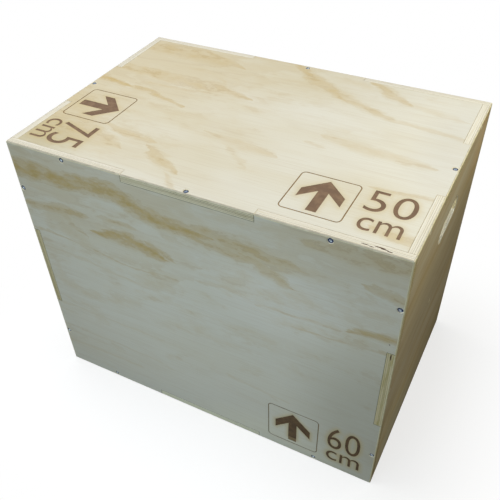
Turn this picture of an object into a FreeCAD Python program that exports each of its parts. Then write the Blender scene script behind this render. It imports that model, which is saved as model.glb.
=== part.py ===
import FreeCAD, Part
import math
import os
from FreeCAD import Vector

# Three-height plyo box in finger-jointed plywood, closed by countersunk wood screws.
# Millimetres. +Z is up, the front board looks along -Y, the origin is the middle of the footprint.

# Box outside: each of the three is a jumping height, depending on the side it stands on
box_length = 750.0
box_depth = 500.0
box_height = 600.0

# Plywood, with its outer edges eased
ply = 15.0
edge_ease = 1.5

# Middle finger on the edges that run along X, Y and Z
finger_x = 250.0
finger_y = 166.6
finger_z = 200.0
finger_gap = 0.2

# Hand hole through each side board; the drop is from the top edge to its centre
hand_hole_length = 120.0
hand_hole_height = 40.0
hand_hole_drop = 102.0
hand_hole_ease = 2.0

# Board inside that ties the two side boards together
brace_level = 300.0
brace_gap = 0.3

# Countersunk wood screw; the many screws and their holes are many-sided instead of round to stay light
screw_sides = 16
head_diameter = 8.8
head_sink = 0.4
shank_diameter = 4.4
shank_gap = 0.1
screw_length = 40.0
tip_length = 6.0
tip_diameter = 0.6
drill_spare = 2.0
recess_span = 4.6
recess_width = 1.1
recess_depth = 1.8

X = Vector(1, 0, 0)
Y = Vector(0, 1, 0)
Z = Vector(0, 0, 1)
outward = {"front": -Y, "back": Y, "left": -X, "right": X, "bottom": -Z, "top": Z}
inside_depth = box_depth - 2 * ply
inside_length = box_length - 2 * ply
middle = Z * (box_height / 2)


def finger_outline(half_u, half_v, middle_u, middle_v, out_u, out_v):
    # Rectangle whose four edges step out (finger) or in (notch) over their middle stretch
    quarter = [
        (half_u + out_u, middle_v),
        (half_u, middle_v),
        (half_u, half_v),
        (middle_u, half_v),
        (middle_u, half_v + out_v),
    ]
    left = [(-u, v) for u, v in reversed(quarter)]
    upper = quarter + left
    lower = [(u, -v) for u, v in reversed(upper)]
    return upper + lower


def flat_face(corners):
    return Part.Face(Part.makePolygon(corners + corners[:1]))


def board(outer_middle, u_axis, v_axis, inward, outline):
    corners = [outer_middle + u_axis * u + v_axis * v for u, v in outline]
    return flat_face(corners).extrude(inward * ply)


def eased_block():
    # The whole box after its outer edges are eased
    block = Part.makeBox(box_length, box_depth, box_height, Vector(-box_length / 2, -box_depth / 2, 0))
    return block.makeChamfer(edge_ease, block.Edges)


def front_or_back(side):
    # Full rectangle with a notch in the middle of every edge; side is -1 at the front, 1 at the back
    outline = finger_outline(
        box_length / 2, box_height / 2, finger_x / 2, finger_z / 2, -ply, -ply)
    return board(middle + Y * (side * box_depth / 2), X, Z, Y * -side, outline)


def top_or_bottom(level, inward):
    # Sits between the four walls and reaches through them with a finger on every edge
    outline = finger_outline(
        inside_length / 2, inside_depth / 2, finger_x / 2 - finger_gap, finger_y / 2 - finger_gap, ply, ply)
    return board(Z * level, X, Y, inward, outline)


def hand_hole(side):
    # Slot with full round ends
    radius = hand_hole_height / 2
    reach = hand_hole_length / 2 - radius
    centre = X * (side * box_length / 2) + Z * (box_height - hand_hole_drop)
    rise = Z * radius
    front = centre - Y * reach
    back = centre + Y * reach
    edges = [
        Part.makeLine(front - rise, back - rise),
        Part.Arc(back - rise, back + Y * radius, back + rise).toShape(),
        Part.makeLine(back + rise, front + rise),
        Part.Arc(front + rise, front - Y * radius, front - rise).toShape(),
    ]
    return Part.Face(Part.Wire(edges)).extrude(X * (-side * ply))


def hole_rim(panel, slot):
    # Edges of the slot that lie in a face of the board, without those that cross its thickness
    room = slot.BoundBox
    in_slot = [edge for edge in panel.Edges if all(room.isInside(point.Point) for point in edge.Vertexes)]
    return [edge for edge in in_slot if edge.BoundBox.XLength < ply / 2]


def side_panel(side):
    # Fingers reach through front and back, notches take the top and bottom; side is -1 left, 1 right
    outline = finger_outline(
        inside_depth / 2, box_height / 2, finger_y / 2, finger_z / 2 - finger_gap, ply, -ply)
    panel = board(middle + X * (side * box_length / 2), Y, Z, X * -side, outline)
    slot = hand_hole(side)
    panel = panel.cut(slot)
    return panel.makeChamfer(hand_hole_ease, hole_rim(panel, slot))


def brace():
    half_length = inside_length / 2
    half_depth = inside_depth / 2 - brace_gap
    outline = [
        (half_length, half_depth),
        (-half_length, half_depth),
        (-half_length, -half_depth),
        (half_length, -half_depth),
    ]
    return board(Z * (brace_level - ply / 2), X, Y, Z, outline)


def many_sided(rings, seat, inward):
    # Straight and tapered lengths along the screw's axis, between rings of (diameter, depth)
    turns = [2 * math.pi * step / screw_sides for step in range(screw_sides)]
    spokes = [Vector(math.cos(turn), math.sin(turn), 0) for turn in turns]
    rounds = [[spoke * (diameter / 2) + Z * depth for spoke in spokes] for diameter, depth in rings]
    faces = [flat_face(rounds[0]), flat_face(rounds[-1])]
    for near, far in zip(rounds, rounds[1:]):
        for step in range(screw_sides):
            faces.append(flat_face([near[step - 1], near[step], far[step], far[step - 1]]))
    solid = Part.makeSolid(Part.makeShell(faces))
    solid.Placement = FreeCAD.Placement(seat, FreeCAD.Rotation(Z, inward))
    return solid


def drive_slot(seat, inward, arm, flat):
    # One arm of the cross recess
    corner = seat + inward * head_sink - arm * (recess_span / 2) - flat * (recess_width / 2)
    outline = [
        corner,
        corner + arm * recess_span,
        corner + arm * recess_span + flat * recess_width,
        corner + flat * recess_width,
    ]
    return flat_face(outline).extrude(inward * recess_depth)


def screw(seat, inward):
    neck = head_sink + (head_diameter - shank_diameter) / 2
    body = many_sided([
        (head_diameter, head_sink),
        (shank_diameter, neck),
        (shank_diameter, screw_length - tip_length),
        (tip_diameter, screw_length),
    ], seat, inward)
    across = Y if inward.y == 0 else Z
    along = inward.cross(across)
    return body.cut([drive_slot(seat, inward, across, along), drive_slot(seat, inward, along, across)])


def screw_hole(seat, inward):
    # Countersink that the head seats in, then one drilled hole through both boards
    mouth = head_diameter + 2 * head_sink
    drill = shank_diameter + 2 * shank_gap
    return many_sided([
        (mouth, 0),
        (drill, (mouth - drill) / 2),
        (drill, screw_length + drill_spare),
    ], seat, inward)


def face_middle(wall):
    # Middle of a wall's outer face, measured from the middle of the box
    out = outward[wall]
    return Vector(out.x * box_length, out.y * box_depth, out.z * box_height) / 2


def edge_seats(over, under):
    # Seats on one box edge, where the wall over has both end fingers and the wall under the middle one
    along = outward[over].cross(outward[under])
    end_fingers = Vector(
        along.x * (box_length + finger_x),
        along.y * (box_depth + finger_y),
        along.z * (box_height + finger_z)) / 4
    on_over = face_middle(over) + face_middle(under) - outward[under] * (ply / 2)
    on_under = face_middle(over) + face_middle(under) - outward[over] * (ply / 2)
    return [
        (middle + on_under, -outward[under]),
        (middle + on_over - end_fingers, -outward[over]),
        (middle + on_over + end_fingers, -outward[over]),
    ]


def screw_seats():
    # Seat and inward direction of every screw, grouped by the box edge or brace end that they hold
    seats = {}
    for over in ("front", "back"):
        for under in ("left", "right", "bottom", "top"):
            seats[f"{over}_{under}_screws"] = edge_seats(over, under)
    for over in ("left", "right"):
        for under in ("bottom", "top"):
            seats[f"{over}_{under}_screws"] = edge_seats(over, under)
        seats[f"{over}_brace_screw"] = [(face_middle(over) + Z * brace_level, -outward[over])]
    return seats


def main():
    seats = screw_seats()
    holes = Part.makeCompound([screw_hole(*seat) for group in seats.values() for seat in group])
    block = eased_block()
    boards = {
        "front_panel": front_or_back(-1),
        "back_panel": front_or_back(1),
        "left_panel": side_panel(-1),
        "right_panel": side_panel(1),
        "top_panel": top_or_bottom(box_height, -Z),
        "bottom_panel": top_or_bottom(0, Z),
        "inner_brace": brace(),
    }
    os.makedirs("parts", exist_ok=True)
    for node, panel in boards.items():
        finished = panel.common(block).cut(holes)
        finished.Solids[0].exportStep(f"parts/{node}.step")
    for node, group in seats.items():
        Part.makeCompound([screw(*seat) for seat in group]).exportStep(f"parts/{node}.step")


main()
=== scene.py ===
import math

import bmesh
import bpy
from mathutils import Matrix, Vector
from mathutils.kdtree import KDTree


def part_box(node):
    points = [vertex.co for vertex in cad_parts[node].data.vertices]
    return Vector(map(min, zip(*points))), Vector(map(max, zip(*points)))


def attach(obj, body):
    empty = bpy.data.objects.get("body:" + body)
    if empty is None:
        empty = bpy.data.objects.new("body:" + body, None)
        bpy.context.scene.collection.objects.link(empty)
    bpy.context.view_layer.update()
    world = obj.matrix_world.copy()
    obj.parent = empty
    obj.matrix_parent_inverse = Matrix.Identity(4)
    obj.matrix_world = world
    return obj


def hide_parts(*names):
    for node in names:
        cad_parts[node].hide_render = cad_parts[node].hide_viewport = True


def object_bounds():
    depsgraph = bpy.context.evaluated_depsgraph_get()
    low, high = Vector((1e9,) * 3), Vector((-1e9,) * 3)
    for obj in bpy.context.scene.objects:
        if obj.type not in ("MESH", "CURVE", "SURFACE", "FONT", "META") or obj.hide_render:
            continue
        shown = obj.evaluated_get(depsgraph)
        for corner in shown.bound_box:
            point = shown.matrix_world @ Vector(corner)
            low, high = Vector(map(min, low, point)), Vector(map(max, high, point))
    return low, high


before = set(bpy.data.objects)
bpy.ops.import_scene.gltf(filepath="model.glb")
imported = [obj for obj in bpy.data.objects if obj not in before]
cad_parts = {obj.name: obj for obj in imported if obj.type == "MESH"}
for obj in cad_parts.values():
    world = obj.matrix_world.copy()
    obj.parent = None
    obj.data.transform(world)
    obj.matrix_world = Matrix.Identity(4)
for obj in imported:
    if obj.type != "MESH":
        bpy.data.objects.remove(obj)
cadLow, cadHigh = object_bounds()  # the box's own size, before anything is dressed
mm = 0.001
sideWalls = ("left", "right")
hair = 0.001 * mm  # places closer than this are the same
boxLength, boxDepth, boxHeight = cadHigh - cadLow
frontLow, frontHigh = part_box("front_panel")
ply = frontHigh.y - frontLow.y  # board thickness
middle = (cadLow + cadHigh) / 2
print("frame loaded,", len(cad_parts), "nodes, box", boxLength, boxDepth, boxHeight)


# small helpers for editing meshes

def startFresh():
    if bpy.context.object is not None and bpy.context.object.mode != "OBJECT":
        bpy.ops.object.mode_set(mode="OBJECT")
    bpy.ops.object.select_all(action="DESELECT")


def setActive(piece, *others):
    startFresh()
    for each in (piece, *others):
        each.select_set(True)
    bpy.context.view_layer.objects.active = piece


def openMesh(piece, mode="FACE"):
    setActive(piece)
    bpy.ops.object.mode_set(mode="EDIT")
    bpy.ops.mesh.select_mode(type=mode)
    selectAll()


def closeMesh():
    bpy.ops.object.mode_set(mode="OBJECT")


def selectAll():
    bpy.ops.mesh.select_all(action="SELECT")


def cutAcross(place, way):
    selectAll()
    bpy.ops.mesh.bisect(plane_co=place, plane_no=way)


def pick(piece, kind, test):
    # only the points, edges or faces that pass a test
    if piece.mode != "EDIT":
        openMesh(piece)
    bpy.ops.mesh.select_mode(type=kind)
    bpy.ops.mesh.select_all(action="DESELECT")
    work = bmesh.from_edit_mesh(piece.data)
    for part in filter(test, {"VERT": work.verts, "EDGE": work.edges, "FACE": work.faces}[kind]):
        part.select_set(True)
    bmesh.update_edit_mesh(piece.data)


def extrude(x, y, z):
    bpy.ops.mesh.extrude_region_move(TRANSFORM_OT_translate={"value": (x, y, z)})


def settle(piece):
    setActive(piece)  # place, turn and size go into the mesh
    bpy.ops.object.transform_apply(location=True, rotation=True, scale=True)


def tidyMesh(piece):
    openMesh(piece, "VERT")
    bpy.ops.mesh.remove_doubles(threshold=4 * hair)
    bpy.ops.mesh.normals_make_consistent(inside=False)
    closeMesh()


def joined(pieces, name):
    setActive(*pieces)
    if len(pieces) > 1:
        bpy.ops.object.join()
    pieces[0].name = name
    return pieces[0]


def dress(piece, *materials):
    piece.data.materials.clear()
    for material in materials:
        piece.data.materials.append(material)


def applyModifier(piece, kind, **settings):
    setActive(piece)
    bpy.ops.object.modifier_add(type=kind)
    change = piece.modifiers[-1]
    for name, value in settings.items():
        setattr(change, name, value)
    bpy.ops.object.modifier_apply(modifier=change.name)


def carve(piece, cutter, how="DIFFERENCE"):
    applyModifier(
        piece, "BOOLEAN", operation=how, solver="EXACT", material_mode="TRANSFER", object=cutter)
    bpy.data.objects.remove(cutter)


def smooth(piece, angle=32):
    setActive(piece)
    bpy.ops.object.shade_smooth_by_angle(angle=math.radians(angle))
    applyModifier(piece, "WEIGHTED_NORMAL", keep_sharp=True)


def flatSheet(width, height, spot=(0, 0, 0)):
    startFresh()
    bpy.ops.mesh.primitive_plane_add(size=1)
    sheet = bpy.context.object
    sheet.scale = (width, height, 1)
    sheet.location = spot
    settle(sheet)
    return sheet


def thicken(piece, low, high):
    # a flat shape made solid between two heights
    openMesh(piece)
    bpy.ops.transform.translate(value=(0, 0, low))
    extrude(0, 0, high - low)
    closeMesh()
    tidyMesh(piece)


def lathe(name, sides, rings):
    # a disc, drawn out ring by ring along -Z: (radius, depth)
    startFresh()
    radius, depth = rings[0]
    bpy.ops.mesh.primitive_circle_add(
        vertices=sides, radius=radius, fill_type="NGON", location=(0, 0, -depth))
    piece = bpy.context.object
    piece.name = name
    settle(piece)
    openMesh(piece)
    for nextRadius, nextDepth in rings[1:]:
        extrude(0, 0, depth - nextDepth)
        share = nextRadius / radius
        bpy.ops.transform.resize(value=(share, share, 1))
        radius, depth = nextRadius, nextDepth
    closeMesh()
    tidyMesh(piece)
    return piece


def extent(piece):
    columns = list(zip(*[vert.co for vert in piece.data.vertices]))
    return Vector([min(column) for column in columns]), Vector([max(column) for column in columns])


def radians(angles):
    return [math.radians(angle) for angle in angles]


# helpers for wiring materials

wiring = {"tree": None}  # the node tree being wired


def newNode(kind):
    return wiring["tree"].nodes.new(f"ShaderNode{kind}")


def feed(socket, value):
    if isinstance(value, bpy.types.NodeSocket):
        wiring["tree"].links.new(value, socket)
    elif value is not None:
        socket.default_value = value


def addNode(kind, *values, **settings):
    # a node, its settings and its first inputs: None leaves one as it is
    step = newNode(kind)
    for name, setting in settings.items():
        setattr(step, name, setting)
    for socket, value in zip(step.inputs, values):
        feed(socket, value)
    return step.outputs


def calc(how, *values):
    return addNode("Math", *values, operation=how)[0]


def times(first, second):
    return calc("MULTIPLY", first, second)


def apart(first, second):
    return calc("ABSOLUTE", calc("SUBTRACT", first, second))


def vect(how, *values):
    outputs = addNode("VectorMath", *values, operation=how)
    return outputs["Value" if how in ("LENGTH", "DOT_PRODUCT") else "Vector"]


def spread(value, low, high, first=0.0, last=1.0, how="SMOOTHSTEP"):
    return addNode("MapRange", value, low, high, first, last, interpolation_type=how)[0]


def mixColour(share, first, second, how="MIX"):
    unused = [None] * 5  # inputs of the node's other kinds
    return addNode("Mix", share, *unused, first, second, data_type="RGBA", blend_type=how)[2]


def noise(place, stretch, detail, rough, output="Fac"):
    stretched = vect("MULTIPLY", place, stretch)
    return addNode("TexNoise", stretched, None, 1.0, detail, rough)[output]


def objectPlace():
    return newNode("TexCoord").outputs["Object"]


def faceNormal():
    return newNode("NewGeometry").outputs["Normal"]


def facePlace(spot, turn):
    # the place on a board as seen from outside: x right, y up, z out
    return addNode("Mapping", objectPlace(), spot, radians(turn), vector_type="TEXTURE")[0]


def colour(red, green, blue):
    # written as it looks on screen, 0 to 255
    parts = [level / 255 for level in (red, green, blue)]
    linear = [part / 12.92 if part <= 0.04045 else ((part + 0.055) / 1.055) ** 2.4 for part in parts]
    return (*linear, 1.0)


def newMaterial(name):
    material = bpy.data.materials.new(name)
    material.use_nodes = True
    wiring["tree"] = material.node_tree
    return material, material.node_tree.nodes["Principled BSDF"]


# wood finishes

grainSpan = (0.3, 0.7)  # most of a noise lies between these
# how rough it is from smooth to coarse grain, its shine, and the strength and depth of its relief
woodTouch = {
    "face": {"rough": (0.78, 0.92), "shine": 0.08, "relief": 0.25, "depth": 0.4 * mm},
    "edge": {"rough": (0.78, 0.92), "shine": 0.08, "relief": 0.35, "depth": 0.5 * mm},
    "worked": {"rough": (0.7, 0.9), "shine": 0.2, "relief": 0.3, "depth": 0.3 * mm},
}


def finishWood(shader, kind, base, grain, height):
    touch = woodTouch[kind]
    feed(shader.inputs["Base Color"], base)
    feed(shader.inputs["Roughness"], spread(grain, *grainSpan, *touch["rough"]))
    shader.inputs["Specular IOR Level"].default_value = touch["shine"]
    relief = newNode("Bump")
    for name, value in (("Strength", touch["relief"]), ("Distance", touch["depth"]), ("Height", height)):
        feed(relief.inputs[name], value)
    feed(shader.inputs["Normal"], relief.outputs[0])


woodFace = {
    "pale": colour(232, 229, 214),
    "warm": colour(222, 213, 185),
    "tan": colour(205, 180, 122),
    "line": colour(192, 170, 130),
    "pore": colour(182, 162, 128),
    "toast": colour(208, 184, 120),
}
# noises in the veneer: (stretch, detail, roughness), where a larger stretch is finer
faceNoise = {
    "wander": ((5, 14, 1), 2, 0.5),
    "fray": ((26, 75, 1), 4, 0.65),
    "mottle": ((24, 48, 1), 5, 0.65),
    "ragged": ((24, 55, 1), 5, 0.65),
    "chance": ((1.5, 18, 1), 4, 0.6),
    "cloud": ((11, 24, 1), 5, 0.62),
    "rings": ((1.1, 9, 1), 3, 0.5),
    "fine": ((7, 520, 1), 3, 0.6),
    "pores": ((45, 1500, 1), 2, 0.5),
    "tone": ((2.6, 8, 1), 3, 0.55),
}
faceStray = {"wander": (0.05, 0.016, 0), "fray": (0.034, 0.02, 0)}  # how far they push the figure
# where each starts and is full, then how much there is of it
faceShow = {
    "mottle": (0.32, 0.68, 0.7, 1.25),
    "ribbon": (1.75, 0.1, 0.0),
    "cloud": (0.46, 0.74, 0.0),
    "rings": (0.55, 1.0),
    "ringsInFigure": (0.0, 0.6, 0.05, 0.30),
    "pores": (0.66, 0.78),
    "warmth": (0.28, 0.72, 0.0),
    "streaks": (0.45, 0.8, 0.0, 0.22),
    "patch": (1.0, 0.25),
}
faceShare = {"ragged": 1.2, "chance": 0.25, "outline": 3.2, "rings": 9.0, "pores": 0.28, "poreDepth": 0.6}
seedStep = Vector((1.7, 0.9, 0))  # from one board's veneer to the next
raggedShift = (3.1, 7.7, 0)  # elsewhere in the noise than the mottle
ribbonBase = 100 * mm  # keeps ribbons that start off the board above nought
ribbonTip = {"length": 2.4, "width": 0.01}  # a ribbon's point, its length in half widths


def ribbonShare(along, down, drawn):
    # how far a point lies from the middle of a ribbon, which thins to a point past both ends: 1 at its edge
    points = [Vector(point) for point in drawn]
    slopes = [(last.y - first.y) / (last.x - first.x) for first, last in zip(points, points[1:])]
    tips = []
    for end, slope, way in ((points[0], slopes[0], -1), (points[-1], slopes[-1], 1)):
        step = way * ribbonTip["length"] * end.z
        tips.append(Vector((end.x + step, end.y + slope * step, ribbonTip["width"])))
    slopes = [slopes[0], slopes[0], *slopes[1:], slopes[-1], slopes[-1]]
    points = [tips[0], *points, tips[1]]
    ramp = newNode("ValToRGB")
    stops = ramp.color_ramp.elements
    for point, slope in zip(points, slopes):
        share = (point.x - points[0].x) / (points[-1].x - points[0].x)
        stop = stops[0] if point is points[0] else stops[-1] if point is points[-1] else stops.new(share)
        stop.position = share
        stop.color = (point.y * mm + ribbonBase, point.z * mm * math.hypot(1, slope), 0, 1)
    feed(ramp.inputs[0], spread(along, points[0].x * mm, points[-1].x * mm, 0, 1, "LINEAR"))
    parts = addNode("SeparateColor", ramp.outputs[0])
    return calc("DIVIDE", apart(down, parts[0]), parts[1])


def pineFace(name, spot, turn, look):
    material, shader = newMaterial(name)
    place = facePlace(spot, turn)
    shifted = vect("ADD", place, seedStep * look["seed"])  # the grain runs along x

    def grain(kind, where=shifted, output="Fac"):
        return noise(where, *faceNoise[kind], output)

    def stray(kind):
        push = vect("SUBTRACT", grain(kind, output="Color"), (0.5, 0.5, 0.5))
        return vect("MULTIPLY", push, faceStray[kind])

    # veneer wanders a little, so nothing in it is quite straight
    wander = stray("wander")
    wandered = vect("ADD", shifted, wander)
    drift = vect("ADD", vect("ADD", place, wander), stray("fray"))
    drift = addNode("SeparateXYZ", drift)
    across = calc("ADD", drift[0], look["plan"][0] / 2)
    down = calc("SUBTRACT", look["plan"][1] / 2 + ribbonBase, drift[1])
    mottle = spread(grain("mottle"), *faceShow["mottle"])
    ragged = grain("ragged", vect("ADD", shifted, raggedShift))
    ragged = times(calc("SUBTRACT", ragged, 0.5), faceShare["ragged"])
    lean = vect("DOT_PRODUCT", place, look["lean"])  # one side of the board warmer

    # tan figure: drawn ribbons, then some that simply happens
    figure = None
    for strength, *drawn in look["figure"]:
        share = calc("ADD", ribbonShare(across, down, drawn), ragged)
        one = spread(share, *faceShow["ribbon"], strength)
        figure = one if figure is None else calc("MAXIMUM", figure, one)
    if figure is not None:
        figure = calc("MINIMUM", times(figure, mottle), 1.0)
    start, strength = look["wild"]
    full = start + faceShare["chance"]
    chance = spread(grain("chance", wandered), start, full, look["deep"], strength)
    figure = chance if figure is None else calc("MAXIMUM", figure, chance)
    cloud = calc("ADD", grain("cloud", wandered), lean)
    cloud = spread(cloud, *faceShow["cloud"], look["cloud"])
    figure = calc("MAXIMUM", figure, cloud)

    # growth lines follow the figure's outline
    rings = times(grain("rings"), faceShare["rings"])
    rings = calc("ADD", times(figure, faceShare["outline"]), rings)
    rings = spread(calc("SINE", times(rings, math.tau)), *faceShow["rings"])
    rings = times(rings, spread(figure, *faceShow["ringsInFigure"]))
    fine = grain("fine")
    pores = spread(grain("pores"), *faceShow["pores"])
    tone = calc("ADD", grain("tone"), lean)

    warmth = spread(tone, *faceShow["warmth"], look["warm"])
    base = mixColour(warmth, woodFace["pale"], woodFace["warm"])
    streaks = spread(fine, *faceShow["streaks"])
    stained = times(pores, faceShare["pores"])
    for share, tint in ((figure, "tan"), (rings, "line"), (streaks, "line"), (stained, "pore")):
        base = mixColour(share, base, woodFace[tint])
    for centre, reach, tint in look["lightShadePatches"]:  # painted light and shade: soft ovals, a little darker or paler than the rest
        away = vect("DIVIDE", vect("SUBTRACT", place, (*centre, 0)), (*reach, 1))
        away = spread(vect("LENGTH", away), *faceShow["patch"])
        base = mixColour(away, base, (*tint, 1), "MULTIPLY")
    if look["toast"]:
        halo = addNode("Attribute", attribute_name="toast")["Fac"]
        base = mixColour(times(halo, look["toast"]), base, woodFace["toast"])
    height = calc("SUBTRACT", fine, times(pores, faceShare["poreDepth"]))
    finishWood(shader, "face", base, fine, height)
    return material


plyEdge = {
    "plies": 5,
    "endGrain": colour(222, 207, 160),
    "core": colour(196, 182, 136),
    "glue": colour(112, 96, 66),
    "stain": colour(192, 176, 112),
}
edgeNoise = {
    "ripple": ((14, 14, 60), 2, 0.5),
    "streak": ((28, 28, 1100), 3, 0.6),
    "speck": ((900, 900, 1200), 2, 0.5),
    "stain": ((20, 20, 170), 4, 0.65),
    "faint": ((5, 5, 0), 1, 0.5),
}
edgeShow = {
    "streak": (0.45, 0.75, 0.0, 0.25),
    "core": (0.8, 0.2),
    "stain": (0.45, 0.70),
    "speck": (0.56, 0.72),
    "glue": (0.395, 0.445),
    "faint": (0.35, 0.65),
}
edgeShare = {"ripple": 0.22, "speck": 0.5, "faintest": 0.15, "strongest": 0.85, "glueDepth": 0.5}


def layeredEdge(name, spot, turn, along, olive, lines, longGrain):
    # five plies, turned crosswise in turn, with thin glue lines between them
    material, shader = newMaterial(name)
    place = facePlace(spot, turn)
    plies = plyEdge["plies"]

    def grain(kind, where=place):
        return noise(where, *edgeNoise[kind])

    ripple = times(calc("SUBTRACT", grain("ripple"), 0.5), edgeShare["ripple"])
    depth = addNode("SeparateXYZ", place)[2]
    depth = calc("ADD", times(depth, -plies / ply), ripple)  # counted in plies
    within = apart(calc("FRACT", depth), 0.5)
    odd = calc("PINGPONG", calc("FLOOR", depth), 1.0)
    acrossGrain = calc("ABSOLUTE", vect("DOT_PRODUCT", faceNormal(), along))
    acrossGrain = calc("GREATER_THAN", acrossGrain, 0.7)
    endOn = apart(odd, acrossGrain)

    def byGrain(onLongEdge, onEndGrain):
        return spread(acrossGrain, 0.0, 1.0, onLongEdge, onEndGrain)

    streak = grain("streak")
    core = apart(depth, plies / 2)
    stain = spread(grain("stain"), *edgeShow["stain"])
    speck = times(spread(grain("speck"), *edgeShow["speck"]), endOn)
    glue = spread(within, *edgeShow["glue"])
    inside = times(spread(depth, 0.5, 0.6), spread(depth, plies - 0.5, plies - 0.6))
    eachLine = addNode("CombineXYZ", calc("ROUND", depth))[0]
    faint = grain("faint", vect("ADD", place, eachLine))
    limits = [lines * edgeShare[limit] for limit in ("faintest", "strongest")]
    glue = times(glue, spread(faint, *edgeShow["faint"], *limits))
    layers = (
        (times(endOn, byGrain(0.12, 0.3)), "endGrain"),
        (byGrain(olive, 0.85), "endGrain"),
        (times(spread(core, *edgeShow["core"]), byGrain(olive, 0.6)), "core"),
        (spread(streak, *edgeShow["streak"]), "endGrain"),
        (times(stain, byGrain(0.1 + olive * 0.5, 0.7)), "stain"),
        (times(speck, edgeShare["speck"]), "glue"),
        (times(glue, inside), "glue"),
    )
    base = longGrain
    for share, tint in layers:
        base = mixColour(share, base, plyEdge[tint])
    height = calc("SUBTRACT", streak, times(glue, edgeShare["glueDepth"]))
    finishWood(shader, "edge", base, streak, height)
    return material


# worked wood: (darker, paler) and, in the screw holes, the colour of what is turned from the light
workedWood = {
    "flawWood": ((124, 98, 78), (150, 122, 96)),
    "seamDust": ((206, 196, 168), (222, 212, 186)),
    "seamShade": ((128, 120, 92), (148, 140, 110)),
    # the arrises: one sanded paler with a painted highlight, one darkened with painted shade
    "sandedHighlitArris": ((240, 231, 190), (250, 243, 210)),
    "shadedArris": ((188, 182, 162), (202, 196, 176)),
    # the screw holes: pale wood with painted shade where it is turned from the light
    "drilledWood": ((236, 228, 198), (248, 242, 218), (50, 48, 50)),
    "burntFront": ((88, 70, 52), (112, 90, 64)),
    "burntTop": ((122, 99, 80), (141, 116, 92)),
    "lineFront": ((138, 118, 86), (156, 136, 102)),
    "lineTop": ((140, 112, 72), (158, 132, 92)),
}
workedNoise = {"patch": ((60, 60, 60), 3, 0.55), "grain": ((30, 420, 420), 2, 0.6)}
workedShow = {"patch": (0.38, 0.68), "grain": (0.5, 0.75, 0.0, 0.4)}
# way is towards the light, wood and zinc are where their shade starts, and soft is how gradually
litSide = {"way": (0.5, 0, 0.87), "soft": 0.35, "wood": -0.4, "zinc": 0.05}


def shaded(base, under, kind):
    # painted shade: another colour where a face is turned from the light
    lit = vect("DOT_PRODUCT", faceNormal(), litSide["way"])
    level, soft = litSide[kind], litSide["soft"]
    return mixColour(spread(lit, level - soft, level + soft), under, base)


def patchyWood(name, dark, light, under=None):
    material, shader = newMaterial(name)
    place = objectPlace()
    patch = noise(place, *workedNoise["patch"])
    grain = noise(place, *workedNoise["grain"])
    base = mixColour(spread(patch, *workedShow["patch"]), dark, light)
    base = mixColour(spread(grain, *workedShow["grain"]), base, light)
    # painted shade where a face is turned from the light
    if under:
        base = shaded(base, under, "wood")
    finishWood(shader, "worked", base, grain, grain)
    return material


# boards

joinery = {
    "fingerX": 250 * mm,
    "fingerY": 166.6 * mm,
    "fingerZ": 200 * mm,
    "seam": 0.2 * mm,
    "easeBox": 2.5 * mm,
    "easeSeam": 0.4 * mm,
    "easeSteps": 4,
    "braceSteps": 2,
    "faceOn": 0.93,  # a face nearer than this to a board's own direction is its flat side
    "aslant": 0.08,  # a face leans when two parts of its normal pass this
}

# turn takes a board from lying flat, face up, to its wall; joints are those along its Y and X edges
wallBoards = {
    "front": {"turn": (90, 0, 0), "joints": ("notch", "notch")},
    "back": {"turn": (90, 0, 180), "joints": ("notch", "notch")},
    "left": {"turn": (90, 0, -90), "joints": ("finger", "notch")},
    "right": {"turn": (90, 0, 90), "joints": ("finger", "notch")},
    "top": {"turn": (0, 0, 0), "joints": ("finger", "finger")},
    "bottom": {"turn": (180, 0, 0), "joints": ("finger", "finger")},
}

# tan figure, drawn as ribbons: (strength, (along from the left, down from the top, half width), ...)
topFigure = [
    (0.5, (0, 44, 32), (120, 46, 34), (205, 56, 24), (238, 64, 9)),
    (0.45, (150, 26, 7), (225, 54, 12)),
    (0.3, (130, 110, 8), (205, 108, 10), (255, 146, 6)),
    (0.5, (15, 158, 16), (150, 164, 26), (255, 168, 23), (328, 178, 5)),
    (0.4, (110, 201, 6), (175, 202, 6), (248, 187, 4)),
    (0.8, (0, 218, 13), (62, 228, 8)),
    (0.55, (85, 230, 6), (125, 231, 9), (220, 257, 3)),
    (0.55, (346, -5, 11), (392, 42, 15), (465, 87, 14)),
    (0.4, (462, 85, 13), (530, 112, 13), (602, 140, 8)),
    (0.25, (600, 140, 6), (735, 155, 6)),
    (0.45, (510, 12, 8), (555, 45, 14), (604, 67, 10)),
    (0.18, (602, 67, 7), (700, 92, 9)),
    (0.3, (530, 246, 9), (600, 258, 15), (690, 266, 12)),
    (0.3, (312, 322, 5), (385, 333, 17), (455, 341, 8)),
    (0.18, (375, 352, 8), (430, 392, 5)),
    (0.45, (136, 372, 6), (180, 386, 12), (240, 388, 6)),
    (0.5, (254, 411, 9), (285, 430, 14), (324, 450, 6)),
    (0.25, (322, 472, 7), (345, 492, 6)),
    (0.4, (686, 454, 10), (740, 462, 16)),
    (0.3, (640, 358, 4), (735, 350, 6)),
    (0.4, (-5, 372, 135), (40, 384, 118), (95, 400, 48)),
    (0.18, (492, 276, 5), (520, 279, 6)),
]
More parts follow.
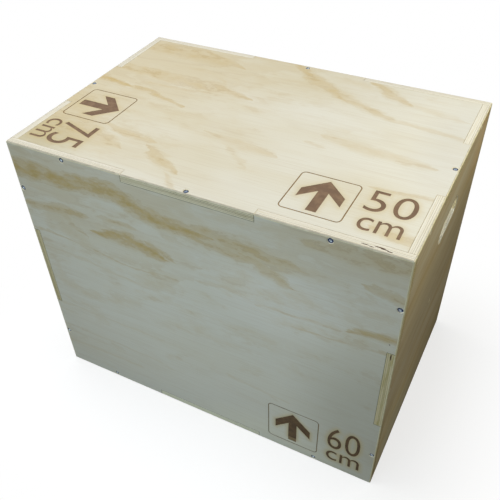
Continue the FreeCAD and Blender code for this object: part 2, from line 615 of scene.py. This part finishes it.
frontFigure = [
    (0.24, (-5, 38, 48), (250, 30, 38)),
    (0.22, (150, 140, 44), (335, 150, 30)),
    (0.32, (300, 60, 34), (385, 78, 32), (515, 90, 28)),
    (0.24, (560, 20, 26), (755, 34, 40)),
    (0.9, (-5, 52, 25), (60, 50, 23), (120, 50, 21), (185, 42, 20), (222, 41, 19), (255, 54, 19),
            (292, 71, 19), (345, 79, 16), (405, 81, 12)),
    (0.25, (10, 16, 12), (215, 10, 10)),
    (0.98, (264, 60, 13), (292, 71, 15), (338, 79, 12)),
    (0.62, (392, 72, 13), (470, 73, 18), (558, 81, 15)),
    (0.6, (405, 93, 13), (476, 99, 12)),
    (0.62, (492, 95, 10), (522, 108, 15), (558, 123, 10)),
    (0.52, (590, 22, 12), (660, 22, 20), (755, 14, 22)),
    (0.52, (695, 72, 8), (755, 82, 11)),
    (0.48, (185, 112, 7), (240, 112, 8)),
    (0.82, (182, 150, 13), (230, 145, 19), (300, 158, 13)),
    (0.55, (292, 140, 10), (330, 153, 9)),
    (0.62, (14, 134, 10), (70, 128, 13), (130, 122, 10)),
    (0.4, (106, 148, 11), (126, 164, 8)),
    (0.7, (662, 180, 4), (705, 170, 8), (755, 167, 11)),
    (0.42, (-2, 193, 2.6), (105, 198, 2.6), (240, 214, 2.6), (335, 205, 3)),
    (0.4, (560, 218, 2.4), (752, 204, 2.4)),
    (0.3, (296, 214, 10), (326, 208, 8)),
    (0.25, (-2, 232, 4), (130, 239, 4), (262, 253, 4)),
    (0.3, (384, 186, 4), (430, 178, 6), (472, 180, 4)),
    (0.3, (500, 195, 4), (640, 184, 4)),
    (0.18, (-2, 401, 3), (285, 398, 3)),
    (0.15, (-2, 475, 3), (262, 478, 3)),
    (0.18, (-2, 530, 4), (210, 525, 4)),
    (0.15, (430, 430, 4), (560, 440, 4)),
]

# wild is where chance figure starts and how strong it gets, deep its least; lean is the warmer side;
# the ovals of painted light and shade are (middle, reach, tint); edge is how olive, how strong the glue
# lines, and its pale grain
paleGrain = colour(240, 237, 225)
plainBoard = {
    "figure": [], "cloud": 0.35, "deep": 0.0, "toast": 0.0, "lean": (0, 0, 0), "warm": 0.8, "lightShadePatches": [],
    "edge": (0.08, 0.7, paleGrain),
}
boardLooks = {
    "front": {
        "seed": 2.0, "figure": frontFigure, "wild": (0.66, 0.25), "cloud": 0.30, "toast": 0.6,
        "lean": (-0.10, 0.45, 0), "warm": 0.28,
        "lightShadePatches": [
            ((0.385, -0.105), (0.23, 0.27), (0.80, 0.80, 0.78)),
            ((0.17, 0.13), (0.17, 0.13), (1.09, 1.10, 1.14)),
            ((0.16, -0.30), (0.24, 0.11), (1.10, 1.10, 1.06)),
        ],
    },
    "back": {"seed": 7.0, "wild": (0.50, 0.70)},
    "left": {"seed": 11.0, "wild": (0.40, 0.65), "cloud": 0.45, "deep": 0.4, "warm": 1.0},
    "right": {
        "seed": 16.0, "wild": (0.40, 0.65), "cloud": 0.45, "deep": 0.35, "lean": (0.30, 0.10, 0), "warm": 1.0,
        "lightShadePatches": [
            ((0.04, 0.06), (0.34, 0.17), (0.84, 0.83, 0.81)),
            ((-0.14, -0.21), (0.24, 0.15), (1.24, 1.28, 1.28)),
            ((0.24, -0.29), (0.14, 0.12), (0.80, 0.80, 0.70)),
            ((0.24, 0.25), (0.14, 0.13), (1.18, 1.08, 1.0)),
        ],
    },
    "top": {
        "seed": 4.0, "figure": topFigure, "wild": (0.68, 0.20), "cloud": 0.22, "toast": 0.35,
        "lean": (-0.60, 0.50, 0), "warm": 0.75, "edge": (0.42, 1.4, colour(252, 247, 226)),
        "lightShadePatches": [
            ((-0.36, -0.23), (0.16, 0.12), (0.87, 0.87, 0.82)),
            ((0.39, 0.06), (0.14, 0.26), (0.92, 0.93, 0.97)),
            ((0.25, -0.14), (0.14, 0.09), (0.95, 0.92, 0.85)),
        ],
    },
    "bottom": {"seed": 21.0, "wild": (0.54, 0.60), "edge": (0.0, 0.6, colour(254, 252, 226))},
    "brace": {"seed": 27.0, "wild": (0.50, 0.75), "deep": 0.1, "edge": (0.3, 0.8, paleGrain)},
}

handHole = {
    "length": 120 * mm, "height": 40 * mm, "drop": 102 * mm, "ease": 2 * mm, "easeSteps": 4, "steps": 12,
    "round": 0.4999,  # of its height: just short of half, so the corners don't meet
}

# size marks burnt into the wood, in mm: middle is from the board's middle, the rest from the mark's own
marks = {
    "jump60": {
        "board": "front", "middle": (202, -218.5), "turn": 0, "words": ("60", "cm"), "frame": 110.5,
        "arrow": {"apex": (-0.5, 44.5), "arm": 38, "drop": 37, "thick": 24, "stem": 9, "length": 91,
                  "foot": 11},
        "boxes": ((108.5, 22, 67, 69), (110, -39, 70, 31)),
    },
    "jump50": {
        "board": "top", "middle": (198, -163), "turn": 0, "words": ("50", "cm"), "frame": 105,
        "arrow": {"apex": (0.5, 42), "arm": 37, "drop": 34, "thick": 23.5, "stem": 8.8, "length": 85},
        "boxes": ((108.5, 24, 79, 56), (108.5, -36.5, 69, 31)),
    },
    "jump75": {
        "board": "top", "middle": (-296.5, -73), "turn": -90, "words": ("75", "cm"), "frame": 106.5,
        "arrow": {"apex": (1, 44), "arm": 37, "drop": 36, "thick": 23.5, "stem": 9.2, "length": 88},
        "boxes": ((108, 16, 74, 73), (107.5, -40.5, 67, 30)),
    },
}
markStyle = {
    "corner": 9 * mm, "cornerSteps": 8, "line": 2.0 * mm, "depth": 0.5 * mm, "weld": 0.01 * mm,
    "digits": {"thin": -0.005, "spacing": 1.06}, "unit": {"thin": -0.003, "spacing": 1.0}, "curveSteps": 8,
    "haloReach": 11 * mm, "haloGrid": 6 * mm, "haloFall": 1.5,
}

# gaps in the plies and a speck, in mm: (place, size), x right, y up, z out from the board's middle
flaws = {
    "front": [
        ((300, 300, -6.4), (13, 3.0, 1.8)),
        ((310, 300, -5.0), (8, 2.6, 1.5)),
        ((322, 300, -8.4), (17, 3.2, 2.4)),
        ((329, 300, -6.6), (12, 2.8, 1.7)),
        ((337, 300, -5.0), (9, 2.8, 1.8)),
        ((361.6, 119.3, 0), (2.6, 2.0, 0.8)),
    ],
    "right": [((-250, 91, -7.8), (8, 15.2, 2.3))],
}


def boardPlan(wall):
    # width, height and the finger lengths along them, as seen from outside
    if wall in ("front", "back"):
        return boxLength, boxHeight, joinery["fingerX"], joinery["fingerZ"]
    if wall in sideWalls:
        return boxDepth, boxHeight, joinery["fingerY"], joinery["fingerZ"]
    return boxLength, boxDepth, joinery["fingerX"], joinery["fingerY"]


def turnMatrix(wall):
    turn = radians(wallBoards[wall]["turn"])
    return (Matrix.Rotation(turn[2], 3, "Z") @ Matrix.Rotation(turn[1], 3, "Y")
            @ Matrix.Rotation(turn[0], 3, "X"))


def outOf(wall):
    return turnMatrix(wall) @ Vector((0, 0, 1))


def wallMiddle(wall):
    out = outOf(wall)
    return middle + Vector((out.x * boxLength, out.y * boxDepth, out.z * boxHeight)) / 2


def flatBoard(wall):
    # one sheet, scored along the joints, with the waste taken out
    width, height, fingerAlong, fingerUp = boardPlan(wall)
    sides, ends = wallBoards[wall]["joints"]
    play = {"notch": 0, "finger": joinery["seam"]}
    sideBack, endBack = ply + play[sides], ply + play[ends]
    sideHalf, endHalf = fingerUp / 2 - play[sides], fingerAlong / 2 - play[ends]
    board = flatSheet(width, height)
    openMesh(board)
    scores = {(1, 0, 0): (width / 2 - sideBack, endHalf), (0, 1, 0): (height / 2 - endBack, sideHalf)}
    for way, places in scores.items():
        for place in places:
            for side in (-place, place):
                cutAcross(Vector(way) * side, way)

    def isWaste(face):
        spot = face.calc_center_median()
        outX = abs(spot.x) > width / 2 - sideBack
        outY = abs(spot.y) > height / 2 - endBack
        if outX and outY:
            return "finger" in (sides, ends)
        if outX:
            return (abs(spot.y) < sideHalf) == (sides == "notch")
        if outY:
            return (abs(spot.x) < endHalf) == (ends == "notch")
        return False

    pick(board, "FACE", isWaste)
    bpy.ops.mesh.delete(type="FACE")
    selectAll()
    bpy.ops.mesh.dissolve_limited()
    thicken(board, 0, -ply)
    return board


def easeEdges(board, width, height):
    # full rounding on the box's own edges, very little on the joints
    def outerSides(edge):
        # how many of the box's outer sides the edge lies in
        first, last = [vert.co for vert in edge.verts]
        reach = (width / 2, height / 2, 0)
        return sum(abs(abs(first[axis]) - reach[axis]) < hair and abs(first[axis] - last[axis]) < hair
                   for axis in range(3))

    pick(board, "EDGE", lambda edge: outerSides(edge) >= 2)
    bpy.ops.transform.edge_bevelweight(value=1.0)
    pick(board, "EDGE", lambda edge: outerSides(edge) == 1)
    bpy.ops.transform.edge_bevelweight(value=joinery["easeSeam"] / joinery["easeBox"])
    closeMesh()
    applyModifier(board, "BEVEL", limit_method="WEIGHT", width=joinery["easeBox"],
                  segments=joinery["easeSteps"])


def easedFinish(face, wall):
    # of the aslant faces: an arris on the box's own rounded edges, a seam on the slopes along a joint
    width, height, _, _ = boardPlan(wall)
    flatten = turnMatrix(wall).transposed()
    place = flatten @ (face.center - wallMiddle(wall))
    reach = joinery["easeBox"] * 1.05  # a little past the rounding
    away = (width / 2 - abs(place.x), height / 2 - abs(place.y), -place.z)  # from the box's outer sides
    near = sum(gap < reach for gap in away)
    if not near or sum(abs(part) > joinery["aslant"] for part in flatten @ face.normal) < 2:
        return None
    if near > 1:  # the long level edges get painted shade; the others are sanded paler, with a painted highlight
        return "shadedArris" if abs(face.normal.x) < 0.2 < abs(face.normal.z) else "sandedHighlitArris"
    if min(away[:2]) < ply + mm:  # seams on the top are paler
        return "seamShade" if face.center.z < boxHeight - joinery["easeSeam"] else "seamDust"
    return None


def cutHandHole(board, height):
    centre = Vector((0, height / 2 - handHole["drop"], 0))
    slot = flatSheet(handHole["length"], handHole["height"], centre)
    openMesh(slot)
    bpy.ops.mesh.bevel(
        offset=handHole["height"] * handHole["round"], segments=handHole["steps"], affect="VERTICES")
    closeMesh()
    thicken(slot, -2 * ply, ply)
    carve(board, slot)
    reach = Vector((handHole["length"] / 2 + mm, handHole["height"] / 2 + mm))

    def onRim(edge):
        spots = [vert.co - centre for vert in edge.verts]
        inReach = all(abs(spot.x) < reach.x and abs(spot.y) < reach.y for spot in spots)
        return inReach and abs(spots[0].z - spots[1].z) < hair

    pick(board, "EDGE", onRim)
    bpy.ops.mesh.bevel(offset=handHole["ease"], segments=handHole["easeSteps"], affect="EDGES")
    closeMesh()


def carveFlaws(board, wall, dark):
    for spot, size in flaws.get(wall, []):
        startFresh()
        bpy.ops.mesh.primitive_uv_sphere_add(segments=16, ring_count=8, radius=0.5)
        flaw = bpy.context.object
        flaw.scale = [length * mm for length in size]
        flaw.location = [length * mm for length in spot]
        settle(flaw)
        dress(flaw, dark)
        carve(board, flaw)


def markRing(size):
    ring = flatSheet(size * mm, size * mm)
    openMesh(ring)
    bpy.ops.mesh.bevel(offset=markStyle["corner"], segments=markStyle["cornerSteps"], affect="VERTICES")
    selectAll()
    bpy.ops.mesh.inset(thickness=markStyle["line"], depth=0)
    bpy.ops.mesh.delete(type="FACE")
    closeMesh()
    return ring


def markArrow(apex, arm, drop, thick, stem, length, foot=0):
    # half an arrow head, its stem drawn down from it, then mirrored
    arrow = flatSheet(arm * mm, thick * mm, (arm * mm / 2, -thick * mm / 2, 0))
    pick(arrow, "VERT", lambda vert: vert.co.x > arm * mm / 2)
    bpy.ops.transform.translate(value=(0, -drop * mm, 0))
    cutAcross((stem * mm, 0, 0), (1, 0, 0))
    inner = (thick + drop * stem / arm) * mm  # where the arm's underside meets the stem

    def isFoot(edge):
        return all(vert.co.x < stem * mm + hair and vert.co.y < -thick * mm + hair for vert in edge.verts)

    pick(arrow, "EDGE", isFoot)
    extrude(0, inner - length * mm, 0)
    bpy.ops.transform.resize(value=(1, 0, 1), center_override=(0, -length * mm, 0))
    if foot:
        cutAcross((0, (foot - length) * mm, 0), (0, 1, 0))
    closeMesh()
    applyModifier(arrow, "MIRROR")
    arrow.location = (apex[0] * mm, apex[1] * mm, 0)
    settle(arrow)
    openMesh(arrow)
    bpy.ops.mesh.normals_make_consistent(inside=False)
    closeMesh()
    return arrow


def markWord(body, box):
    startFresh()
    bpy.ops.object.text_add()
    word = bpy.context.object
    word.data.body = body
    word.data.resolution_u = markStyle["curveSteps"]
    style = markStyle["digits" if body.isdigit() else "unit"]
    word.data.offset = style["thin"]
    word.data.space_character = style["spacing"]
    bpy.ops.object.convert(target="MESH")
    word = bpy.context.object
    low, high = extent(word)
    middleX, middleY, width, height = [number * mm for number in box]
    word.location = -(low + high) / 2
    settle(word)
    word.scale = (width / (high.x - low.x), height / (high.y - low.y), 1)
    word.location = (middleX, middleY, 0)
    settle(word)
    openMesh(word, "VERT")
    bpy.ops.mesh.remove_doubles(threshold=markStyle["weld"])
    selectAll()
    bpy.ops.mesh.dissolve_limited()
    closeMesh()
    return word


def markCutter(mark, burnt, line):
    arrow = mark["arrow"]
    parts = [markRing(mark["frame"]), markArrow(**arrow)]
    for body, box in zip(mark["words"], mark["boxes"]):
        parts.append(markWord(body, box))
    for part in parts:
        thicken(part, -markStyle["depth"], mm)
        dress(part, line if part is parts[0] else burnt, line)
    footLine = (arrow["apex"][1] - arrow["length"] + arrow.get("foot", 0)) * mm  # a paler end of the stem
    for face in parts[1].data.polygons:
        face.material_index = 1 if face.center.y < footLine else 0
    cutter = joined(parts, "markCutter")
    cutter.rotation_euler = (0, 0, math.radians(mark["turn"]))
    cutter.location = (mark["middle"][0] * mm, mark["middle"][1] * mm, 0)
    settle(cutter)
    return cutter


def gridUnder(board, cutter):
    # a finer mesh round a mark, so that the toasted halo has points to live on
    low, high = extent(cutter)
    low = [place - markStyle["haloReach"] for place in low]
    high = [place + markStyle["haloReach"] for place in high]

    def onFace(face):
        return face.normal.z > 0.99 and abs(face.calc_center_median().z) < 10 * hair

    def inColumn(face):
        return onFace(face) and low[0] - hair < face.calc_center_median().x < high[0] + hair

    for axis, direction, test in ((0, Vector((1, 0, 0)), onFace), (1, Vector((0, 1, 0)), inColumn)):
        count = math.ceil((high[axis] - low[axis]) / markStyle["haloGrid"])
        for step in range(count + 1):
            place = low[axis] + (high[axis] - low[axis]) * step / count
            pick(board, "FACE", test)
            bpy.ops.mesh.bisect(plane_co=direction * place, plane_no=direction)
    closeMesh()


def toastHalo(board, burnt):
    mesh = board.data
    index = mesh.materials.find(burnt.name)
    scorched = {corner for face in mesh.polygons if face.material_index == index for corner in face.vertices}
    tree = KDTree(len(scorched))
    for corner in scorched:
        tree.insert(mesh.vertices[corner].co, corner)
    tree.balance()
    halo = mesh.attributes.new("toast", "FLOAT", "POINT")
    for vert in mesh.vertices:
        away = tree.find(vert.co)[2] / markStyle["haloReach"]
        halo.data[vert.index].value = max(0.0, 1 - away) ** markStyle["haloFall"]


def paintBoard(board, name, spot, turn, along, plan):
    look = dict(plainBoard, **boardLooks[name], plan=plan)
    face = pineFace(f"{name}Face", spot, turn, look)
    edge = layeredEdge(f"{name}Edge", spot, turn, along, *look["edge"])
    dress(board, face, edge)
    return face, edge


# screws

screwLook = {
    "head": 8.8 * mm, "sink": 1.2 * mm, "land": 0.25 * mm, "shank": 4.4 * mm, "plain": 16 * mm,
    "runOut": 0.6 * mm, "core": 2.9 * mm, "length": 40 * mm, "tip": 6 * mm, "point": 0.6 * mm,
    "sides": 24, "pitch": 2.6 * mm, "ridge": 0.62 * mm, "turnSteps": 14,
    "dish": 5.4 * mm, "dishFloor": 2.4 * mm, "dishDepth": 1.7 * mm,
    "recess": 4.4 * mm, "arm": 1.5 * mm, "recessDepth": 2.6 * mm, "taper": 0.55,
    "holeGap": 0.1 * mm, "holeLip": 0.5 * mm, "drillSpare": 2 * mm,
    "probe": (1 * mm, 8 * mm, 30 * mm),  # depths at which a screw is looked for in a board
    "twist": 137.5,  # each cross is turned on from the last
}


def screwSeats():
    # the same seats as the CAD screws: three along each edge of the box, one at each end of the brace
    outward = {wall: outOf(wall) for wall in wallBoards}
    reach = {wall: wallMiddle(wall) - middle for wall in wallBoards}
    seats = {}
    pairs = [(over, under) for over in ("front", "back") for under in (*sideWalls, "bottom", "top")]
    pairs += [(over, under) for over in sideWalls for under in ("bottom", "top")]
    for over, under in pairs:
        along = outward[over].cross(outward[under])
        ends = Vector((
            along.x * (boxLength + joinery["fingerX"]),
            along.y * (boxDepth + joinery["fingerY"]),
            along.z * (boxHeight + joinery["fingerZ"]))) / 4
        corner = middle + reach[over] + reach[under]
        onOver = corner - outward[under] * ply / 2
        onUnder = corner - outward[over] * ply / 2
        seats[f"{over}_{under}_screws"] = [
            (onUnder, outward[under]), (onOver - ends, outward[over]), (onOver + ends, outward[over])]
    for wall in sideWalls:
        seats[f"{wall}_brace_screw"] = [(wallMiddle(wall), outward[wall])]
    return seats


def screwsIn(node, seats):
    low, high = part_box(node)

    def inside(point):
        return all(low[axis] - mm < point[axis] < high[axis] + mm for axis in range(3))

    return [(seat, out) for group in seats.values() for seat, out in group
            if any(inside(seat - out * depth) for depth in screwLook["probe"])]


def placedCopy(master, spot, out, twist):
    copy = master.copy()
    copy.data = master.data.copy()
    bpy.context.scene.collection.objects.link(copy)
    turn = out.to_track_quat("Z", "Y").to_matrix().to_4x4()
    copy.matrix_world = Matrix.Translation(spot) @ turn @ Matrix.Rotation(twist, 4, "Z")
    return copy


def holeMaster():
    mouth = screwLook["head"] / 2 + screwLook["sink"]
    drill = screwLook["shank"] / 2 + screwLook["holeGap"]
    lip = screwLook["holeLip"]
    return lathe("holeMaster", screwLook["sides"], [
        (mouth + lip, -lip), (mouth, 0), (drill, mouth - drill),
        (drill, screwLook["length"] + screwLook["drillSpare"])])


def drillBoard(board, hole, seats, wood=None):
    cutter = joined([placedCopy(hole, seat, out, 0) for seat, out in seats], "holes")
    settle(cutter)
    if wood:
        dress(cutter, wood)
    carve(board, cutter)


def crossCutter():
    arms = []
    for turn in (0, 90):
        startFresh()
        bpy.ops.mesh.primitive_cube_add(size=1)
        arm = bpy.context.object
        high = mm
        low = screwLook["sink"] + screwLook["recessDepth"]
        arm.scale = (screwLook["recess"], screwLook["arm"], high + low)
        arm.location = (0, 0, (high - low) / 2)
        settle(arm)
        pick(arm, "FACE", lambda face: face.normal.z < -0.9)
        bpy.ops.transform.resize(value=(screwLook["taper"], screwLook["taper"], 1))
        closeMesh()
        arm.rotation_euler = (0, 0, math.radians(turn))
        settle(arm)
        arms.append(arm)
    carve(arms[0], arms[1], "UNION")
    return arms[0]


def threadRidge():
    startFresh()
    bpy.ops.mesh.primitive_circle_add(vertices=3, radius=screwLook["ridge"], fill_type="NOTHING")
    ridge = bpy.context.object
    for turn in ((90, 0, 0), (0, 90, 0)):
        ridge.rotation_euler = radians(turn)
        settle(ridge)
    reach = extent(ridge)[1].x
    ridge.location = (screwLook["shank"] / 2 - reach, 0, -screwLook["length"] + screwLook["tip"])
    settle(ridge)
    turns = int((screwLook["length"] - screwLook["tip"] - screwLook["plain"]) / screwLook["pitch"])
    applyModifier(ridge, "SCREW", angle=math.tau, screw_offset=screwLook["pitch"], iterations=turns,
                  steps=screwLook["turnSteps"], render_steps=screwLook["turnSteps"])
    openMesh(ridge, "EDGE")
    bpy.ops.mesh.select_all(action="DESELECT")
    bpy.ops.mesh.select_non_manifold()
    bpy.ops.mesh.edge_face_add()
    bpy.ops.mesh.fill_holes(sides=4)
    closeMesh()
    tidyMesh(ridge)
    return ridge


def screwMaster(zinc, worn):
    head, shank, core, dish = [screwLook[width] / 2 for width in ("head", "shank", "core", "dish")]
    sink = screwLook["sink"]
    dishBottom = sink + screwLook["dishDepth"]
    neck = sink + screwLook["land"] + (head - shank)
    screw = lathe("screwMaster", screwLook["sides"], [
        (screwLook["dishFloor"] / 2, dishBottom), (dish, sink),
        (head, sink), (head, sink + screwLook["land"]),
        (shank, neck), (shank, screwLook["plain"] - screwLook["runOut"]),
        (core, screwLook["plain"]), (core, screwLook["length"] - screwLook["tip"]),
        (screwLook["point"] / 2, screwLook["length"])])
    dress(screw, zinc, worn)
    for each in screw.data.polygons:
        inDish = each.center.xy.length < dish and each.center.z > -dishBottom - mm / 10
        each.material_index = 1 if inDish else 0
    ridge = threadRidge()
    dress(ridge, zinc)
    carve(screw, ridge, "UNION")
    cross = crossCutter()
    dress(cross, worn)
    carve(screw, cross)
    tidyMesh(screw)
    smooth(screw, angle=40)
    return screw


zincLook = {
    "cloud": ((900, 900, 900), 2, 0.5), "turned": ((2600, 2600, 2600), 2, 0.6),
    "light": (0.35, 0.65), "rough": (0.24, 0.42),
}


def blueZinc(name, dark, light, metal, under=None):
    material, shader = newMaterial(name)
    place = objectPlace()
    cloud = noise(place, *zincLook["cloud"])
    turned = noise(place, *zincLook["turned"])
    base = mixColour(spread(cloud, *zincLook["light"]), dark, light)
    # painted shade where the face is turned from the light
    if under:
        base = shaded(base, under, "zinc")
    feed(shader.inputs["Base Color"], base)
    shader.inputs["Metallic"].default_value = metal
    feed(shader.inputs["Roughness"], spread(turned, *grainSpan, *zincLook["rough"]))
    return material


# making everything

def finishBoard(wall, wood, seats, hole):
    width, height, _, _ = boardPlan(wall)
    node = f"{wall}_panel"
    board = flatBoard(wall)
    board.name = f"{wall}Board"
    easeEdges(board, width, height)
    if wall in sideWalls:
        cutHandHole(board, height)
    spot = wallMiddle(wall)
    turn = wallBoards[wall]["turn"]
    along = turnMatrix(wall) @ Vector((1, 0, 0))
    face, edge = paintBoard(board, wall, spot, turn, along, (width, height))
    carveFlaws(board, wall, wood["flawWood"])
    burnt = wood.get(f"burnt{wall.capitalize()}")
    for mark in marks.values():
        if mark["board"] == wall:
            cutter = markCutter(mark, burnt, wood[f"line{wall.capitalize()}"])
            gridUnder(board, cutter)
            carve(board, cutter)
    board.rotation_euler = radians(turn)
    board.location = spot
    settle(board)
    holes = screwsIn(node, seats)
    drillBoard(board, hole, holes, wood["drilledWood"])
    slots = {}
    for kind in ("seamDust", "seamShade", "sandedHighlitArris", "shadedArris"):
        slots[kind] = len(board.data.materials)
        board.data.materials.append(wood[kind])
    out = outOf(wall)
    for each in board.data.polygons:
        if board.data.materials[each.material_index] in (face, edge):
            kind = easedFinish(each, wall)
            isFlat = abs(each.normal.dot(out)) > joinery["faceOn"]
            each.material_index = slots[kind] if kind else 0 if isFlat else 1
    if burnt:
        toastHalo(board, burnt)
    smooth(board)
    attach(board, "root")
    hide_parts(node)
    print(board.name, "done,", len(board.data.polygons), "faces,", len(holes), "screw holes")


def makeBrace(seats, hole):
    low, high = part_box("inner_brace")
    spot = Vector(((low.x + high.x) / 2, (low.y + high.y) / 2, high.z))
    brace = flatSheet(high.x - low.x, high.y - low.y, spot)
    brace.name = "innerBrace"
    thicken(brace, 0, low.z - high.z)
    openMesh(brace, "EDGE")
    bpy.ops.mesh.bevel(offset=joinery["easeSeam"], segments=joinery["braceSteps"], affect="EDGES")
    closeMesh()
    paintBoard(brace, "brace", spot, (0, 0, 0), Vector((1, 0, 0)), (1, 1))
    drillBoard(brace, hole, [seats[f"{wall}_brace_screw"][0] for wall in sideWalls])
    for each in brace.data.polygons:
        each.material_index = 0 if abs(each.normal.z) > joinery["faceOn"] else 1
    smooth(brace)
    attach(brace, "root")
    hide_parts("inner_brace")
    print("innerBrace done")


def makeScrews(seats, heads):
    # the heads in the front and back get a paler drive than the others: a painted highlight, with painted
    # shade where it is turned from the light
    master = screwMaster(*heads["bright"])
    count = 0
    for node, group in seats.items():
        copies = []
        for seat, out in group:
            copy = placedCopy(master, seat, out, math.radians(screwLook["twist"] * count))
            for slot, finish in enumerate(heads["bright" if abs(out.y) > 0.5 else "dull"]):
                copy.data.materials[slot] = finish
            copies.append(copy)
            count += 1
        parts = node.split("_")
        piece = joined(copies, "screws" + "".join(word.capitalize() for word in parts[:-1]))
        settle(piece)
        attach(piece, "root")
        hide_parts(node)
    print(count, "screws of", len(master.data.polygons), "faces")
    bpy.data.objects.remove(master)


# light, floor and camera

# lamps: (place, what it is aimed at, size, power, tint)
studio = {
    "skyPanel": ((-0.6, -0.08, 2.45), (0.0, 0.0, 0.6), (1.8, 1.8), 42, (1.0, 1.0, 1.0)),
    "rightPanel": ((0.78, 0.04, 1.0), (0.375, 0.0, 0.4), (0.7, 0.2), 2.05, (1.0, 0.97, 0.82)),
    "frontPanel": ((-0.03, -1.2, 0.48), (-0.06, -0.25, 0.42), (0.8, 0.9), 5.1, (0.69, 0.855, 1.0)),
    "backPanel": ((-0.2, 1.35, 0.42), (-0.05, 0.25, 0.36), (1.0, 0.7), 6.0, (0.86, 0.94, 1.0)),
    "insidePanel": ((0.29, -0.2, 0.56), (0.37, 0.03, 0.49), (0.06, 0.04), 0.33, (0.86, 0.94, 1.0)),
}
floorLook = {
    "size": 16, "pale": (0.40, 0.40, 0.40, 1), "lift": 0.72, "bounce": (0.21, 0.165, 0.075, 1),
    "nearEdge": 0.02, "farEdge": 0.34,
}
roomLight = (0.02, 0.02, 0.02, 1)
photoCamera = {
    "azimuth": 28.675, "elevation": 43.014, "roll": -1.946,
    "spot": (484.7 * mm, -927.2 * mm, 1188.3 * mm),
    "focal": 635.23, "frame": 500, "principal": (249.59, 275.79), "sensor": 36.0,
}


def showsBackground():
    rays = newNode("LightPath").outputs
    seen = calc("MAXIMUM", rays["Is Camera Ray"], rays["Is Glossy Ray"])
    return calc("MAXIMUM", seen, rays["Is Transmission Ray"])


def makeLamps():
    for name, (spot, aim, size, power, tint) in studio.items():
        startFresh()
        bpy.ops.object.light_add(type="AREA", location=spot)
        panel = bpy.context.object
        panel.name = name
        panel.data.shape = "RECTANGLE"
        panel.data.size, panel.data.size_y = size
        panel.data.energy = power
        panel.data.color = tint
        panel.rotation_euler = (Vector(aim) - Vector(spot)).to_track_quat("-Z", "Y").to_euler()
    print(len(studio), "lamps set")


def makeRoom():
    startFresh()
    bpy.ops.mesh.primitive_plane_add(size=floorLook["size"])
    floor = bpy.context.object
    floor.name = "floor"
    material, shader = newMaterial("paleFloor")
    material.node_tree.nodes.remove(shader)
    pale = addNode("BsdfDiffuse", floorLook["pale"])[0]
    lift = addNode("Emission", None, floorLook["lift"])[0]
    near = addNode("AddShader", pale, lift)[0]
    white = addNode("Emission", None, 1.0)[0]
    # the shadow stays near the box, further out the floor is plain white
    past = vect("SUBTRACT", vect("ABSOLUTE", objectPlace()), (boxLength / 2, boxDepth / 2, 0))
    past = vect("LENGTH", vect("MAXIMUM", past, (0, 0, 0)))
    past = spread(past, floorLook["nearEdge"], floorLook["farEdge"])
    seen = addNode("MixShader", past, near, white)[0]
    bounced = addNode("BsdfDiffuse", floorLook["bounce"])[0]
    both = addNode("MixShader", showsBackground(), bounced, seen)[0]
    feed(material.node_tree.nodes["Material Output"].inputs["Surface"], both)
    dress(floor, material)

    world = bpy.data.worlds.new("paleRoom")
    bpy.context.scene.world = world
    world.use_nodes = True
    wiring["tree"] = world.node_tree
    air = world.node_tree.nodes["Background"]
    feed(air.inputs["Color"], mixColour(showsBackground(), roomLight, (1, 1, 1, 1)))
    air.inputs["Strength"].default_value = 1.0
    print("room set")


def makeCamera():
    turn, rise, roll = radians(photoCamera[key] for key in ("azimuth", "elevation", "roll"))
    back = Vector((math.sin(turn) * math.cos(rise), -math.cos(turn) * math.cos(rise), math.sin(rise)))
    level = Vector((math.cos(turn), math.sin(turn), 0))
    up = back.cross(level)
    right = level * math.cos(roll) + up * math.sin(roll)
    top = up * math.cos(roll) - level * math.sin(roll)
    startFresh()
    bpy.ops.object.camera_add()
    camera = bpy.context.object
    axes = Matrix((right, top, back)).transposed().to_4x4()
    camera.matrix_world = Matrix.Translation(Vector(photoCamera["spot"])) @ axes
    frameSize = photoCamera["frame"]
    camera.data.sensor_width = photoCamera["sensor"]
    camera.data.lens = photoCamera["focal"] / frameSize * photoCamera["sensor"]
    pointX, pointY = photoCamera["principal"]
    camera.data.shift_x = 0.5 - pointX / frameSize
    camera.data.shift_y = pointY / frameSize - 0.5
    bpy.context.scene.camera = camera
    bpy.context.scene.view_settings.view_transform = "Standard"
    print("camera set")


wood = {name: patchyWood(name, *[colour(*tone) for tone in tones]) for name, tones in workedWood.items()}
seats = screwSeats()
hole = holeMaster()
for wall in wallBoards:
    finishBoard(wall, wood, seats, hole)
makeBrace(seats, hole)
bpy.data.objects.remove(hole)
zinc = blueZinc("blueZinc", colour(18, 28, 54), colour(36, 50, 84), 1.0)
# a painted highlight on the pale drive, with painted shade where it is turned from the light
highlightShadeDrive = blueZinc("highlightShadeDrive", colour(222, 234, 242), colour(242, 248, 252), 0.1, colour(10, 18, 42))
dullDrive = blueZinc("dullDrive", colour(132, 150, 178), colour(176, 190, 206), 0.1)
makeScrews(seats, {"bright": (zinc, highlightShadeDrive), "dull": (zinc, dullDrive)})
makeLamps()
makeRoom()
makeCamera()
